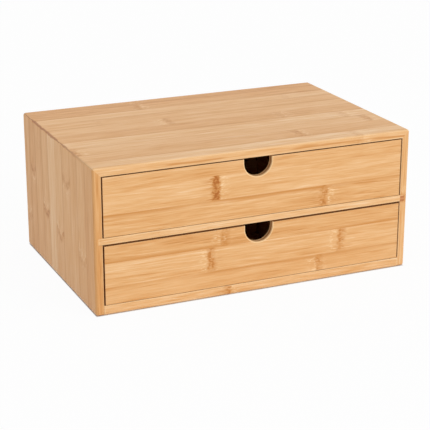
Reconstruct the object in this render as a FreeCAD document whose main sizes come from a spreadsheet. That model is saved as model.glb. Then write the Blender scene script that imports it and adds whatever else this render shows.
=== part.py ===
import FreeCAD, Part

import os
import re

import Sketcher

# A tabletop chest of bamboo boards: a case with two bays, one over the other, and in each bay
# a drawer that is pulled by a round notch in its front. Every length is in millimetres.
# X runs to the right, Y from the front to the back, and Z up. The origin is on the table,
# under the middle of the case.

DRIVING_SIZES = {
    # The case, and the thickness of its boards.
    "case_width": 330.0,
    "case_depth": 217.0,
    "panel_thickness": 8.0,
    "base_thickness": 9.5,
    "shelf_thickness": 6.5,
    "back_thickness": 4.0,
    "lower_bay_height": 60.0,
    "upper_bay_height": 59.0,
    # How far the shelf and the back are let into the boards round them, and how far the back
    # lies inside the case's rear edges.
    "shelf_housing": 4.0,
    "back_housing": 4.0,
    "back_setback": 0.5,
    # The rounded outer edges of the case, and the eased arrises of the other boards.
    "edge_round": 2.5,
    "arris_round": 0.5,
    # The blind dowels between the base and the sides.
    "dowel_diameter": 5.0,
    "dowel_in_base": 14.0,
    "dowel_in_side": 5.0,
    "dowel_margin": 30.0,
    "dowel_play": 0.1,
    "dowel_end_play": 0.5,
    # How each drawer stands in its bay.
    "side_gap": 1.15,
    "running_gap": 0.3,
    "rear_gap": 0.5,
    "front_setback": 0.2,
    "lower_top_gap": 1.7,
    "upper_top_gap": 1.0,
    "lower_drawer_shift": 0.3,
    "upper_drawer_shift": 0.1,
    # The drawer's front board and its finger notch, which was sawn a little off the middle.
    "front_thickness": 6.5,
    "front_rabbet": 3.0,
    "front_round": 0.5,
    "notch_radius": 14.5,
    "notch_depth": 18.2,
    "notch_round": 0.8,
    "lower_notch_shift": 1.0,
    "upper_notch_shift": -0.2,
    # The drawer's sides, back and bottom.
    "drawer_side_thickness": 6.0,
    "drawer_back_thickness": 6.0,
    "drawer_bottom_thickness": 3.5,
    "back_rabbet": 3.0,
    "side_drop": 2.0,
    "groove_height": 4.0,
    "groove_depth": 3.0,
    "groove_play": 0.3,
    # The crossed dividers that part each drawer into compartments.
    "divider_thickness": 4.0,
    "divider_height": 42.0,
    "divider_gap": 0.3,
    "lap_play": 0.15,
    # How far every cutting shape runs past what it cuts.
    "cut_overrun": 1.0,
}

CROSS_DIVIDER_COUNT = 2
DOWELS_PER_SIDE = 3
QUARTER_TURN = 90
SAME_PLACE = 1e-4
SKETCH_ORIGIN = (-1, 1)
FIRST_LENGTH = 1.0

# Sizes and places that follow from the driving ones.
WORKED_SIZES = {
    "bay_width": "case_width - 2 * panel_thickness",
    "bay_depth": "case_depth - back_setback - back_thickness",
    "rebate_depth": "back_thickness + back_setback",
    "lower_bay_floor": "base_thickness",
    "shelf_underside": "lower_bay_floor + lower_bay_height",
    "upper_bay_floor": "shelf_underside + shelf_thickness",
    "top_underside": "upper_bay_floor + upper_bay_height",
    "case_height": "top_underside + panel_thickness",
    "lower_front_height": "lower_bay_height - running_gap - lower_top_gap",
    "upper_front_height": "upper_bay_height - running_gap - upper_top_gap",
    "drawer_width": "bay_width - 2 * side_gap",
    "drawer_length": "bay_depth - front_setback - rear_gap",
    "inner_width": "drawer_width - 2 * drawer_side_thickness",
    "inner_length": "drawer_length - front_thickness - drawer_back_thickness",
    "divider_floor": "groove_height + drawer_bottom_thickness",
    "half_lap": "divider_height / 2",
    "long_divider_front": "front_thickness + (inner_length - divider_thickness) / 2",
    "divider_pitch": f"(inner_width + divider_thickness) / {CROSS_DIVIDER_COUNT + 1}",
    "dowel_spacing": f"(case_depth - 2 * dowel_margin) / {DOWELS_PER_SIDE - 1}",
}

doc = FreeCAD.newDocument("tea_drawer_chest")
sub_parts = []


# The two sheets: the driving sizes as plain numbers, and the sizes worked out from them.

def sheet_formula(text):
    """Names the sheet of each size that a formula uses."""

    def with_sheet(match):
        sheet_name = "Sizes" if match.group() in DRIVING_SIZES else "Worked"
        return f"{sheet_name}.{match.group()}"

    return re.sub(r"[a-z_]+", with_sheet, text)


def new_sheet(name, cells):
    sheet = doc.addObject("Spreadsheet::Sheet", name)
    for row, (alias, content) in enumerate(cells.items(), start=1):
        sheet.set(f"A{row}", alias)
        sheet.set(f"B{row}", content)
        sheet.setAlias(f"B{row}", alias)
    doc.recompute()
    return sheet


new_sheet("Sizes", {alias: str(number) for alias, number in DRIVING_SIZES.items()})
worked = new_sheet(
    "Worked",
    {
        alias: "=" + sheet_formula(text).replace("Worked.", "")
        for alias, text in WORKED_SIZES.items()
    },
)


# What the boards are made with.

def bind(thing, prop, text):
    thing.setExpression(prop, sheet_formula(text))


def place(thing, x, y, z):
    bind(thing, "Placement.Base.x", x)
    bind(thing, "Placement.Base.y", y)
    bind(thing, "Placement.Base.z", z)


def new_body(label):
    body = doc.addObject("PartDesign::Body", label)
    body.Label = label
    sub_parts.append(body)
    return body


def mirrored(label, source, plane_x):
    """The other hand of a board, mirrored in an upright plane that runs front to back."""
    twin = doc.addObject("Part::Mirroring", label)
    twin.Label = label
    twin.Source = source
    twin.Normal = FreeCAD.Vector(1, 0, 0)
    bind(twin, "Base.x", plane_x)
    sub_parts.append(twin)
    return twin


def add_block(body, name, corner, extent, kind="PartDesign::AdditiveBox"):
    """A block from its low corner and its extent, each given as formulas for X, Y and Z."""
    feature = body.newObject(kind, name)
    place(feature, *corner)
    for prop, text in zip(("Length", "Width", "Height"), extent):
        bind(feature, prop, text)
    return feature


def cut(body, make_feature):
    """Makes a cutting feature and sees that it took wood away."""
    doc.recompute()
    volume_before = body.Shape.Volume
    feature = make_feature()
    doc.recompute()
    if body.Shape.Volume >= volume_before:
        raise ValueError(f"{body.Label}: {feature.Name} cuts nothing")
    return feature


def cut_block(body, name, corner, extent):
    return cut(body, lambda: add_block(body, name, corner, extent, "PartDesign::SubtractiveBox"))


def lies_at(edge, axis, level):
    """Whether the whole edge lies at one level of an axis."""
    bounds = edge.BoundBox
    low, high = getattr(bounds, f"{axis}Min"), getattr(bounds, f"{axis}Max")
    return abs(low - level) < SAME_PLACE and abs(high - level) < SAME_PLACE


def runs_along(edge, axis):
    bounds = edge.BoundBox
    others = [getattr(bounds, f"{other}Length") for other in "XYZ" if other != axis]
    return max(others) < SAME_PLACE


def round_edges(body, name, radius, chosen):
    """Rounds the edges of the body's last feature that the rule picks, given its bounds."""
    doc.recompute()
    last = body.Tip
    bounds = last.Shape.BoundBox
    edges = [
        f"Edge{number}"
        for number, edge in enumerate(last.Shape.Edges, start=1)
        if chosen(edge, bounds)
    ]
    if not edges:
        raise ValueError(f"{body.Label}: {name} finds no edge")
    fillet = body.newObject("PartDesign::Fillet", name)
    fillet.Base = (last, edges)
    bind(fillet, "Radius", radius)
    return fillet


def upright_sketch(body, name):
    """A sketch on the body's front plane: its X is to the right and its Y is up."""
    sketch = body.newObject("Sketcher::SketchObject", name)
    planes = {plane.Role: plane for plane in body.Origin.OriginFeatures}
    sketch.AttachmentSupport = (planes["XZ_Plane"], "")
    sketch.MapMode = "FlatFace"
    return sketch


def tie(sketch, kind, name, text, *elements):
    """A dimension of the sketch: it is made at a first length, and then follows a formula."""
    index = sketch.addConstraint(Sketcher.Constraint(kind, *elements, FIRST_LENGTH))
    sketch.renameConstraint(index, name)
    bind(sketch, f".Constraints.{name}", text)


def tie_point(sketch, name, geometry, point, across, up):
    """Ties a point of the sketch to its place from the sketch's origin."""
    tie(sketch, "DistanceX", f"{name}_across", across, *SKETCH_ORIGIN, geometry, point)
    tie(sketch, "DistanceY", f"{name}_up", up, *SKETCH_ORIGIN, geometry, point)


def cut_through(body, sketch, name):
    """Cuts a sketch's outline through the whole body, from front to back."""

    def pocket():
        feature = body.newObject("PartDesign::Pocket", name)
        feature.Profile = sketch
        feature.Type = "ThroughAll"
        feature.Midplane = True
        return feature

    return cut(body, pocket)


def cut_triangle(body, name, corners):
    """Cuts a three-cornered prism through the body, from front to back."""
    sketch = upright_sketch(body, f"{name}_outline")
    start = [FreeCAD.Vector(0, 0, 0), FreeCAD.Vector(1, 0, 0), FreeCAD.Vector(0, 1, 0)]
    for side in range(3):
        sketch.addGeometry(Part.LineSegment(start[side], start[(side + 1) % 3]), False)
    for side, (across, up) in enumerate(corners):
        sketch.addConstraint(Sketcher.Constraint("Coincident", side, 2, (side + 1) % 3, 1))
        tie_point(sketch, f"corner_{side}", side, 1, across, up)
    return cut_through(body, sketch, name)


# The case: four boards round the bays, the shelf between them, and the back.

def stand_in_case(body):
    """Puts a case board in place: boards are drawn with the front of the case at Y = 0."""
    place(body, "0", "-case_depth / 2", "0")


def outer_edges(outer_axis, outer_side):
    """Picks the outer face's edges and the short ones that run from it through the board."""

    def chosen(edge, bounds):
        level = getattr(bounds, f"{outer_axis}{outer_side}")
        return lies_at(edge, outer_axis, level) or runs_along(edge, outer_axis)

    return chosen


def top_panel():
    body = new_body("top_panel")
    stand_in_case(body)
    add_block(
        body, "board",
        ("-case_width / 2", "0", "top_underside"),
        ("case_width", "case_depth", "panel_thickness"),
    )
    round_edges(body, "outer_round", "edge_round", outer_edges("Z", "Max"))
    round_edges(
        body, "bay_arris", "arris_round",
        lambda edge, bounds: lies_at(edge, "Z", bounds.ZMin) and lies_at(edge, "Y", bounds.YMin),
    )
    for end, sign in (("left", "-1"), ("right", "1")):
        past_end = f"{sign} * (case_width / 2 + cut_overrun)"
        past_mitre = f"{sign} * (bay_width / 2 - cut_overrun)"
        cut_triangle(
            body, f"{end}_mitre",
            (
                (past_end, "case_height + cut_overrun"),
                (past_mitre, "top_underside - cut_overrun"),
                (past_end, "top_underside - cut_overrun"),
            ),
        )
    cut_block(
        body, "back_rebate",
        ("-case_width / 2 - cut_overrun", "bay_depth", "top_underside - cut_overrun"),
        ("case_width + 2 * cut_overrun", "rebate_depth + cut_overrun", "back_housing + cut_overrun"),
    )
    return body


def dowel_place(number):
    return f"dowel_margin + {number} * dowel_spacing"


def bore_dowel_holes(body, name, start, length):
    """Bores a row of blind dowel holes along X, at half the base's thickness."""
    for number in range(DOWELS_PER_SIDE):

        def hole():
            feature = body.newObject("PartDesign::SubtractiveCylinder", f"{name}_{number + 1}")
            feature.Placement.Rotation = FreeCAD.Rotation(FreeCAD.Vector(0, 1, 0), QUARTER_TURN)
            place(feature, start, dowel_place(number), "base_thickness / 2")
            bind(feature, "Radius", "dowel_diameter / 2 + dowel_play")
            bind(feature, "Height", length)
            return feature

        cut(body, hole)


def left_side_panel():
    body = new_body("left_side_panel")
    stand_in_case(body)
    add_block(
        body, "board",
        ("-case_width / 2", "0", "0"),
        ("panel_thickness", "case_depth", "case_height"),
    )
    round_edges(body, "outer_round", "edge_round", outer_edges("X", "Min"))
    round_edges(
        body, "bay_arris", "arris_round",
        lambda edge, bounds: lies_at(edge, "X", bounds.XMax) and lies_at(edge, "Y", bounds.YMin),
    )
    past_mitre = "-bay_width / 2 + cut_overrun"
    cut_triangle(
        body, "mitre",
        (
            ("-case_width / 2 - cut_overrun", "case_height + cut_overrun"),
            (past_mitre, "top_underside - cut_overrun"),
            (past_mitre, "case_height + cut_overrun"),
        ),
    )
    cut_block(
        body, "shelf_dado",
        ("-bay_width / 2 - shelf_housing", "-cut_overrun", "shelf_underside"),
        ("shelf_housing + cut_overrun", "bay_depth + cut_overrun", "shelf_thickness"),
    )
    cut_block(
        body, "back_rebate",
        ("-bay_width / 2 - back_housing", "bay_depth", "lower_bay_floor - back_housing"),
        (
            "back_housing + cut_overrun",
            "rebate_depth + cut_overrun",
            "case_height - lower_bay_floor + back_housing",
        ),
    )
    bore_dowel_holes(
        body, "dowel_hole",
        "-bay_width / 2 - dowel_in_side - dowel_end_play",
        "dowel_in_side + dowel_end_play + cut_overrun",
    )
    return body


def base_panel():
    body = new_body("base_panel")
    stand_in_case(body)
    add_block(
        body, "board",
        ("-bay_width / 2", "0", "0"),
        ("bay_width", "case_depth", "base_thickness"),
    )
    round_edges(
        body, "outer_round", "edge_round",
        lambda edge, bounds: lies_at(edge, "Z", bounds.ZMin) and runs_along(edge, "X"),
    )
    round_edges(
        body, "bay_arris", "arris_round",
        lambda edge, bounds: lies_at(edge, "Z", bounds.ZMax) and lies_at(edge, "Y", bounds.YMin),
    )
    cut_block(
        body, "back_rebate",
        ("-bay_width / 2 - cut_overrun", "bay_depth", "lower_bay_floor - back_housing"),
        ("bay_width + 2 * cut_overrun", "rebate_depth + cut_overrun", "back_housing + cut_overrun"),
    )
    bore_dowel_holes(
        body, "left_dowel_hole",
        "-bay_width / 2 - cut_overrun",
        "dowel_in_base + dowel_end_play + cut_overrun",
    )
    bore_dowel_holes(
        body, "right_dowel_hole",
        "bay_width / 2 - dowel_in_base - dowel_end_play",
        "dowel_in_base + dowel_end_play + cut_overrun",
    )
    return body


def shelf_panel():
    body = new_body("shelf_panel")
    stand_in_case(body)
    add_block(
        body, "board",
        ("-bay_width / 2 - shelf_housing", "0", "shelf_underside"),
        ("bay_width + 2 * shelf_housing", "bay_depth", "shelf_thickness"),
    )
    round_edges(
        body, "bay_arrises", "arris_round",
        lambda edge, bounds: lies_at(edge, "Y", bounds.YMin) and runs_along(edge, "X"),
    )
    return body


def back_panel():
    body = new_body("back_panel")
    stand_in_case(body)
    add_block(
        body, "board",
        ("-bay_width / 2 - back_housing", "bay_depth", "lower_bay_floor - back_housing"),
        (
            "bay_width + 2 * back_housing",
            "back_thickness",
            "top_underside - lower_bay_floor + 2 * back_housing",
        ),
    )
    return body


def base_dowels():
    """The dowels that tie the base to the sides, as one group of separate pegs."""
    pegs = []
    starts = {
        "left": "-bay_width / 2 - dowel_in_side",
        "right": "bay_width / 2 - dowel_in_base",
    }
    for side, start in starts.items():
        for number in range(DOWELS_PER_SIDE):
            peg = doc.addObject("Part::Cylinder", f"{side}_dowel_{number + 1}")
            peg.Placement.Rotation = FreeCAD.Rotation(FreeCAD.Vector(0, 1, 0), QUARTER_TURN)
            place(peg, start, f"{dowel_place(number)} - case_depth / 2", "base_thickness / 2")
            bind(peg, "Radius", "dowel_diameter / 2")
            bind(peg, "Height", "dowel_in_side + dowel_in_base")
            pegs.append(peg)
    group = doc.addObject("Part::Compound", "base_dowels")
    group.Label = "base_dowels"
    group.Links = pegs
    sub_parts.append(group)
    return group


# A drawer: a box with a thicker front, open at the top, and the dividers that stand in it.

def stand_in_bay(body, drawer):
    """Puts a drawer board in place: it is drawn with the front's lower middle at the origin."""
    place(
        body,
        f"{drawer}_drawer_shift",
        "front_setback - case_depth / 2",
        f"{drawer}_bay_floor + running_gap",
    )


def cut_finger_notch(body, drawer):
    """A round-bottomed notch near the middle of the front's upper edge, with a rounded rim."""
    radius = DRIVING_SIZES["notch_radius"]
    centre_up = f"{drawer}_front_height - notch_depth + notch_radius"
    height = worked.get(f"{drawer}_front_height")
    centre = FreeCAD.Vector(0, height - DRIVING_SIZES["notch_depth"] + radius, 0)
    low_left = centre - FreeCAD.Vector(radius, 0, 0)
    low_right = centre + FreeCAD.Vector(radius, 0, 0)
    rise = FreeCAD.Vector(0, height, 0)
    sketch = upright_sketch(body, "finger_notch_outline")
    bowl = Part.Arc(low_left, centre - FreeCAD.Vector(0, radius, 0), low_right)
    sketch.addGeometry(bowl, False)
    sketch.addGeometry(Part.LineSegment(low_right, low_right + rise), False)
    sketch.addGeometry(Part.LineSegment(low_right + rise, low_left + rise), False)
    sketch.addGeometry(Part.LineSegment(low_left + rise, low_left), False)
    bowl_edge, right_edge, top_edge, left_edge = range(4)
    start, end, middle = 1, 2, 3
    sketch.addConstraint(
        [
            Sketcher.Constraint("Coincident", bowl_edge, end, right_edge, start),
            Sketcher.Constraint("Coincident", right_edge, end, top_edge, start),
            Sketcher.Constraint("Coincident", top_edge, end, left_edge, start),
            Sketcher.Constraint("Coincident", left_edge, end, bowl_edge, start),
            Sketcher.Constraint("Horizontal", bowl_edge, start, bowl_edge, middle),
            Sketcher.Constraint("Horizontal", bowl_edge, middle, bowl_edge, end),
            Sketcher.Constraint("Vertical", right_edge),
            Sketcher.Constraint("Vertical", left_edge),
            Sketcher.Constraint("Horizontal", top_edge),
        ]
    )
    tie(sketch, "Radius", "bowl_radius", "notch_radius", bowl_edge)
    tie_point(sketch, "bowl_middle", bowl_edge, middle, f"{drawer}_notch_shift", centre_up)
    top_up = f"{drawer}_front_height + cut_overrun"
    tie(sketch, "DistanceY", "mouth_up", top_up, *SKETCH_ORIGIN, top_edge, start)
    cut_through(body, sketch, "finger_notch")
    outer_sides = (("X", "Min"), ("X", "Max"), ("Z", "Min"), ("Z", "Max"))
    round_edges(
        body, "notch_rim", "notch_round",
        lambda edge, bounds: not runs_along(edge, "Y") and not any(
            lies_at(edge, axis, getattr(bounds, f"{axis}{side}")) for axis, side in outer_sides
        ),
    )


def drawer_front(drawer):
    body = new_body(f"{drawer}_drawer_front")
    stand_in_bay(body, drawer)
    height = f"{drawer}_front_height"
    add_block(
        body, "board",
        ("-drawer_width / 2", "0", "0"),
        ("drawer_width", "front_thickness", height),
    )
    cut_finger_notch(body, drawer)
    round_edges(
        body, "front_arris", "front_round",
        lambda edge, bounds: lies_at(edge, "Y", bounds.YMin),
    )
    rabbet_floor = "front_thickness - front_rabbet"
    rabbet_extent = (
        "drawer_side_thickness + cut_overrun",
        "front_rabbet + cut_overrun",
        f"{height} + 2 * cut_overrun",
    )
    cut_block(
        body, "left_rabbet",
        ("-drawer_width / 2 - cut_overrun", rabbet_floor, "-cut_overrun"), rabbet_extent,
    )
    cut_block(
        body, "right_rabbet",
        ("inner_width / 2", rabbet_floor, "-cut_overrun"), rabbet_extent,
    )
    cut_block(
        body, "bottom_groove",
        ("-drawer_width / 2", "front_thickness - groove_depth", "groove_height"),
        ("drawer_width", "groove_depth + cut_overrun", "drawer_bottom_thickness"),
    )
    return body


def round_top_arrises(body, axis):
    """Eases the two long arrises along the top of a thin upright board."""
    round_edges(
        body, "top_arrises", "arris_round",
        lambda edge, bounds: lies_at(edge, "Z", bounds.ZMax) and runs_along(edge, axis),
    )


def drawer_left_side(drawer):
    body = new_body(f"{drawer}_drawer_left_side")
    stand_in_bay(body, drawer)
    add_block(
        body, "board",
        ("-drawer_width / 2", "front_thickness - front_rabbet", "0"),
        (
            "drawer_side_thickness",
            "drawer_length - front_thickness + front_rabbet",
            f"{drawer}_front_height - side_drop",
        ),
    )
    round_top_arrises(body, "Y")
    cut_block(
        body, "back_rabbet_cut",
        ("-inner_width / 2 - back_rabbet", "drawer_length - drawer_back_thickness", "-cut_overrun"),
        (
            "back_rabbet + cut_overrun",
            "drawer_back_thickness + cut_overrun",
            f"{drawer}_front_height + 2 * cut_overrun",
        ),
    )
    cut_block(
        body, "bottom_groove",
        ("-inner_width / 2 - groove_depth", "-cut_overrun", "groove_height"),
        (
            "groove_depth + cut_overrun",
            "drawer_length - drawer_back_thickness + 2 * cut_overrun",
            "drawer_bottom_thickness",
        ),
    )
    return body


def drawer_back(drawer):
    body = new_body(f"{drawer}_drawer_back")
    stand_in_bay(body, drawer)
    add_block(
        body, "board",
        ("-inner_width / 2 - back_rabbet", "drawer_length - drawer_back_thickness", "0"),
        (
            "inner_width + 2 * back_rabbet",
            "drawer_back_thickness",
            f"{drawer}_front_height - side_drop",
        ),
    )
    round_top_arrises(body, "X")
    cut_block(
        body, "bottom_groove",
        (
            "-inner_width / 2 - back_rabbet - cut_overrun",
            "drawer_length - drawer_back_thickness - cut_overrun",
            "groove_height",
        ),
        (
            "inner_width + 2 * back_rabbet + 2 * cut_overrun",
            "groove_depth + cut_overrun",
            "drawer_bottom_thickness",
        ),
    )
    return body


def drawer_bottom(drawer):
    body = new_body(f"{drawer}_drawer_bottom")
    stand_in_bay(body, drawer)
    add_block(
        body, "board",
        (
            "-inner_width / 2 - groove_depth + groove_play",
            "front_thickness - groove_depth + groove_play",
            "groove_height",
        ),
        (
            "inner_width + 2 * groove_depth - 2 * groove_play",
            "inner_length + 2 * groove_depth - 2 * groove_play",
            "drawer_bottom_thickness",
        ),
    )
    return body


def cross_divider_left(number):
    """The left face of a cross divider, counted from the left."""
    return f"{number} * divider_pitch - inner_width / 2 - divider_thickness"


def long_divider(drawer):
    """Runs the width of the drawer, and is slotted from above for each cross divider."""
    body = new_body(f"{drawer}_long_divider")
    stand_in_bay(body, drawer)
    add_block(
        body, "board",
        ("-inner_width / 2 + divider_gap", "long_divider_front", "divider_floor"),
        ("inner_width - 2 * divider_gap", "divider_thickness", "divider_height"),
    )
    round_top_arrises(body, "X")
    for number in range(1, CROSS_DIVIDER_COUNT + 1):
        cut_block(
            body, f"lap_slot_{number}",
            (
                f"{cross_divider_left(number)} - lap_play",
                "long_divider_front - cut_overrun",
                "divider_floor + half_lap - lap_play / 2",
            ),
            (
                "divider_thickness + 2 * lap_play",
                "divider_thickness + 2 * cut_overrun",
                "half_lap + cut_overrun",
            ),
        )
    return body


def cross_divider(drawer, number):
    """Runs from the front to the back, and is slotted from below for the long divider."""
    body = new_body(f"{drawer}_cross_divider_{number}")
    stand_in_bay(body, drawer)
    left = cross_divider_left(number)
    add_block(
        body, "board",
        (left, "front_thickness + divider_gap", "divider_floor"),
        ("divider_thickness", "inner_length - 2 * divider_gap", "divider_height"),
    )
    round_top_arrises(body, "Y")
    cut_block(
        body, "lap_slot",
        (
            f"{left} - cut_overrun",
            "long_divider_front - lap_play",
            "divider_floor - cut_overrun",
        ),
        (
            "divider_thickness + 2 * cut_overrun",
            "divider_thickness + 2 * lap_play",
            "half_lap + lap_play / 2 + cut_overrun",
        ),
    )
    return body


top_panel()
left_panel = left_side_panel()
mirrored("right_side_panel", left_panel, "0")
base_panel()
shelf_panel()
back_panel()
base_dowels()

for drawer in ("lower", "upper"):
    drawer_front(drawer)
    left_side = drawer_left_side(drawer)
    mirrored(f"{drawer}_drawer_right_side", left_side, f"{drawer}_drawer_shift")
    drawer_back(drawer)
    drawer_bottom(drawer)
    long_divider(drawer)
    for number in range(1, CROSS_DIVIDER_COUNT + 1):
        cross_divider(drawer, number)

doc.recompute()
for thing in doc.Objects:
    if "Invalid" in thing.State or "Error" in thing.State:
        raise ValueError(f"{thing.Label} failed: {thing.State}")
for sub_part in sub_parts:
    if sub_part.Shape.isNull() or not sub_part.Shape.isValid():
        raise ValueError(f"{sub_part.Label} has no sound shape")

os.makedirs("parts", exist_ok=True)
for sub_part in sub_parts:
    sub_part.Shape.exportStep(f"parts/{sub_part.Label}.step")
    print(f"{sub_part.Label}: {sub_part.Shape.Volume:.0f} cubic millimetres")
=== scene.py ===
import functools
import math
import random
from collections import namedtuple

import bpy
from mathutils import Euler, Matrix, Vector


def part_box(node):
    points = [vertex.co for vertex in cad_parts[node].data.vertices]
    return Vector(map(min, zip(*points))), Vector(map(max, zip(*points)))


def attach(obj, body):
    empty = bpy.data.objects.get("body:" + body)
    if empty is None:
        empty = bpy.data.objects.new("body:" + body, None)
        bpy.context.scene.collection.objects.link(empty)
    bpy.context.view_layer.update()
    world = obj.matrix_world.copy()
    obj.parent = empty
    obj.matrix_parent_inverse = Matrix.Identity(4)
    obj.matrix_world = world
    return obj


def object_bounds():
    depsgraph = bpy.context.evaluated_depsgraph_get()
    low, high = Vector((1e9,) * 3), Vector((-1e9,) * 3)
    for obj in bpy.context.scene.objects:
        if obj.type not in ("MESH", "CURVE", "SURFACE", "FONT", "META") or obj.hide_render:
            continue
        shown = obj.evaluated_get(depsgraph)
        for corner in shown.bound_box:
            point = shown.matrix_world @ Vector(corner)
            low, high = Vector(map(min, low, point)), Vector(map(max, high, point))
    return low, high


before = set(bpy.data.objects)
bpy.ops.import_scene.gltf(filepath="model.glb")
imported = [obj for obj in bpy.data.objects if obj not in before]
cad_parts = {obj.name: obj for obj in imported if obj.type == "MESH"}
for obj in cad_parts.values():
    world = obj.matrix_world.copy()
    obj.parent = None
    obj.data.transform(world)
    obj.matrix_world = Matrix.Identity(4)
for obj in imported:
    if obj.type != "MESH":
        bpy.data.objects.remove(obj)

cad_low, cad_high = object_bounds()


# The top board: strips of bamboo culm, planed and glued edge to edge, with the grain from left
# to right. Its ends are mitred to the sides, its outer edges are rounded over, and the whole
# case is brushed with a clear satin lacquer.

MM_PER_METRE = 1000.0
case_low, case_high = cad_low * MM_PER_METRE, cad_high * MM_PER_METRE


def colour(red, green, blue):
    """A colour written as it looks on a screen, from 0 to 255, as the shader wants it."""
    shares = [level / 255.0 for level in (red, green, blue)]
    linear = [s / 12.92 if s <= 0.04045 else ((s + 0.055) / 1.055) ** 2.4 for s in shares]
    return (*linear, 1.0)


def join(tree, value, socket):
    """Links another node's output to a socket, or sets the socket to a plain value."""
    if isinstance(value, bpy.types.NodeSocket):
        tree.links.new(value, socket)
    else:
        socket.default_value = value


def add_node(tree, kind, inputs=(), family="ShaderNode", **settings):
    """A new node with its settings, and with values or other nodes' outputs in its sockets."""
    made = tree.nodes.new(family + kind)
    for name, setting in settings.items():
        setattr(made, name, setting)
    for name, value in dict(inputs).items():
        join(tree, value, made.inputs[name])
    return made


def calc(tree, operation, *values):
    return add_node(tree, "Math", enumerate(values), operation=operation).outputs[0]


def vector_calc(tree, operation, *values):
    return add_node(tree, "VectorMath", enumerate(values), operation=operation).outputs["Vector"]


def swing(tree, share, reach):
    """Turns a share from 0 to 1 into a number from -reach to reach."""
    return calc(tree, "MULTIPLY_ADD", share, 2 * reach, -reach)


def ease(tree, value, low, high, at_low=0.0, at_high=1.0):
    """Goes smoothly from one number to another while the value goes from low to high."""
    inputs = enumerate((value, low, high, at_low, at_high))
    return add_node(tree, "MapRange", inputs, interpolation_type="SMOOTHSTEP").outputs[0]


def blend(tree, share, first, second, blend_type="MIX"):
    """Goes from the first colour to the second with the share."""
    mix = add_node(tree, "Mix", data_type="RGBA", blend_type=blend_type)
    inputs = {socket.identifier: socket for socket in mix.inputs}
    join(tree, share, inputs["Factor_Float"])
    join(tree, first, inputs["A_Color"])
    join(tree, second, inputs["B_Color"])
    return next(socket for socket in mix.outputs if socket.identifier == "Result_Color")


def place_in_mm(tree):
    """Where a point lies on its piece, in millimetres from the frame's origin."""
    in_metres = add_node(tree, "TexCoord").outputs["Object"]
    return vector_calc(tree, "MULTIPLY", in_metres, (MM_PER_METRE, MM_PER_METRE, MM_PER_METRE))


def facing(tree, normal, axis):
    """1 where the surface looks along the axis, either way, and 0 where it lies along it."""
    inputs = {0: normal, 1: axis}
    dot = add_node(tree, "VectorMath", inputs, operation="DOT_PRODUCT").outputs["Value"]
    return calc(tree, "ABSOLUTE", dot)


def streaks(tree, place, along, across, detail=2.0):
    """Noise whose blotches have these lengths in millimetres along the grain and across it."""
    squeezed = vector_calc(tree, "MULTIPLY", place, (1.0 / along, 1.0 / across, 1.0 / across))
    return add_node(
        tree, "TexNoise", {"Vector": squeezed, "Scale": 1.0, "Detail": detail}
    ).outputs["Fac"]


def fill_ramp(ramp, stops):
    """Gives a colour ramp its stops, each a place from 0 to 1 and a colour with alpha."""
    while len(ramp.elements) < len(stops):
        ramp.elements.new(1.0)
    for element, (place, shade) in zip(ramp.elements, stops):
        element.position = place
        element.color = shade


def new_effect(name, takes, gives):
    """An empty shader group with named sockets: its tree, what comes in and what goes out."""
    tree = bpy.data.node_groups.new(name, "ShaderNodeTree")
    for in_out, sockets in (("INPUT", takes), ("OUTPUT", gives)):
        for socket, kind in sockets.items():
            tree.interface.new_socket(socket, in_out=in_out, socket_type="NodeSocket" + kind)
    return tree, tree.nodes.new("NodeGroupInput").outputs, tree.nodes.new("NodeGroupOutput").inputs


def use_effect(tree, name, inputs):
    """Places a shader group in a material with the material's own values."""
    return add_node(tree, "Group", inputs, node_tree=bpy.data.node_groups[name]).outputs


# The colours of planed bamboo under clear lacquer, from the brown of a dense streak to straw.
BAMBOO_SHADES = (
    (0.00, colour(198, 134, 72)),
    (0.25, colour(221, 162, 100)),
    (0.50, colour(231, 179, 121)),
    (0.75, colour(239, 193, 141)),
    (1.00, colour(248, 212, 169)),
)

# How far apart two strips' fibres are taken from the noise, how far fibres run off the strip's
# edge for each millimetre of length, and how far they wander on the way, in millimetres.
STRIPS_APART = 700.0
OUT_OF_TRUE = 0.012
WANDER = 1.8


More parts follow.
